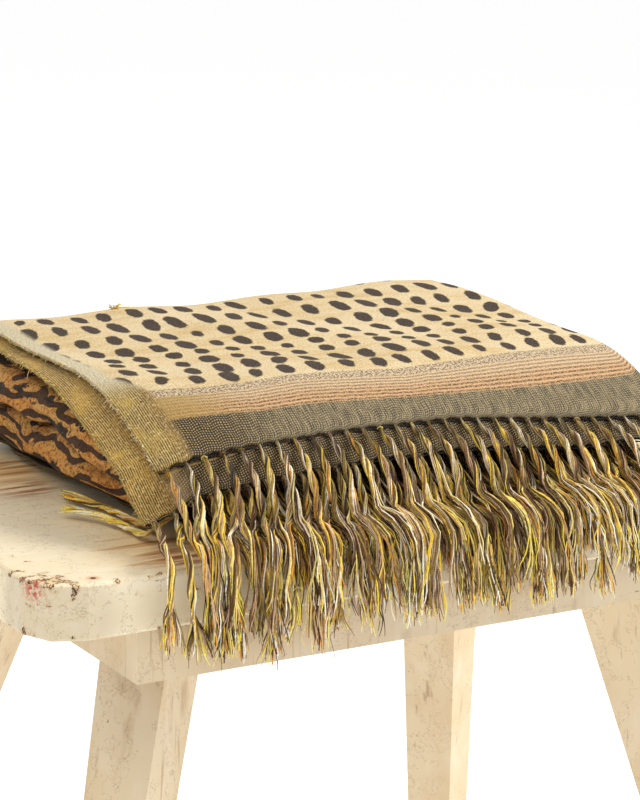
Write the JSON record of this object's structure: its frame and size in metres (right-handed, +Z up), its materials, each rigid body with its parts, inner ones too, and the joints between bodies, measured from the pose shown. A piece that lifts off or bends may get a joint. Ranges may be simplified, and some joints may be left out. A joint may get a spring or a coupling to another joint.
{
  "type": "folded throw blanket on a wooden stool",
  "caption": "Woven throw with a spotted animal pattern, striped borders and tasselled ends, folded in a soft pile on a plain painted wooden stool, its fringe hanging over the front edge.",
  "frame": {"origin": "middle of the whole footprint on the floor", "axes": "+Z up, +X to the right along the stool's front edge, +Y to the back; the fringe hangs on the -Y side"},
  "size_m": [0.6842, 0.4712, 0.5538],
  "materials": {
    "throw_cloth": "soft cream and golden pile with dark brown spots, grey and olive striped borders",
    "fringe_yarn": "twisted wool yarn in yellow, olive, taupe, cream and dark brown",
    "stool_paint": "old cream paint, chipped and worn, satin"
  },
  "bodies": {
    "root": {"seat_board": "stool_paint", "rail_front": "stool_paint", "rail_back": "stool_paint", "rail_left": "stool_paint", "rail_right": "stool_paint", "leg_front_left": "stool_paint", "leg_front_right": "stool_paint", "leg_back_left": "stool_paint", "leg_back_right": "stool_paint", "throw_cloth": "throw_cloth", "fringe_third_second": "fringe_yarn", "fringe_third_first": "fringe_yarn", "fringe_middle_first": "fringe_yarn", "fringe_middle_second": "fringe_yarn", "fringe_top_second": "fringe_yarn", "fringe_top_first": "fringe_yarn"}
  },
  "joints": []
}
